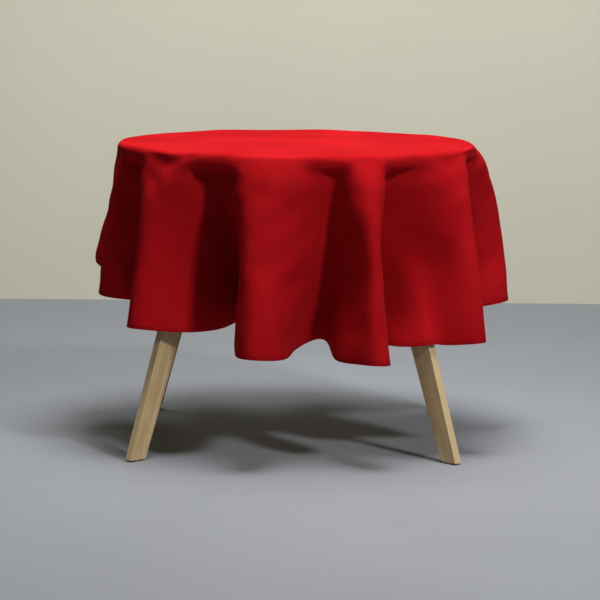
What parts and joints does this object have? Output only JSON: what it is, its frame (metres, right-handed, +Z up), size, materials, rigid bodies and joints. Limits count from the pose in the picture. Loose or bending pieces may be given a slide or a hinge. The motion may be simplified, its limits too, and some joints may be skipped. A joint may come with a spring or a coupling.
{
  "type": "tablecloth on a round table",
  "caption": "Round cloth draped in loose folds over a round dining table with splayed, tapered plank legs; the cloth lifts off.",
  "frame": {"origin": "on the floor under the middle of the tabletop", "axes": "+Z up, the front of the table towards -Y, +X to the right seen from the front"},
  "size_m": [1.0739, 1.0975, 0.7513],
  "materials": {
    "cloth": "matt plain-weave cotton, dyed red",
    "wood": "pale solid ash, clear matt oil",
    "panel": "ash-veneered board, matt lacquer",
    "steel": "bright zinc plate",
    "glide": "grey polyethylene"
  },
  "bodies": {
    "table": {"tabletop": "panel", "edge_band": "wood", "rail_left_diagonal": "wood", "rail_right_diagonal": "wood", "leg_front_left": "wood", "leg_front_right": "wood", "leg_back_right": "wood", "leg_back_left": "wood", "foot_glide_front_left": "glide", "foot_glide_front_right": "glide", "foot_glide_back_right": "glide", "foot_glide_back_left": "glide", "joint_bolt_1": "steel", "joint_bolt_2": "steel", "joint_bolt_3": "steel", "joint_bolt_4": "steel", "joint_bolt_5": "steel", "joint_bolt_6": "steel", "joint_bolt_7": "steel", "joint_bolt_8": "steel", "sleeve_nut_1": "steel", "sleeve_nut_2": "steel", "sleeve_nut_3": "steel", "sleeve_nut_4": "steel", "sleeve_nut_5": "steel", "sleeve_nut_6": "steel", "sleeve_nut_7": "steel", "sleeve_nut_8": "steel", "top_screw_1": "steel", "top_screw_2": "steel", "top_screw_3": "steel", "top_screw_4": "steel", "top_screw_5": "steel", "top_screw_6": "steel", "top_screw_7": "steel", "top_screw_8": "steel"},
    "tablecloth": {"tablecloth": "cloth"}
  },
  "joints": [
    {"name": "cloth_lift", "type": "slide", "parent": "table", "child": "tablecloth", "axis": [0, 0, 1], "range_m": [0, 0.6]}
  ]
}
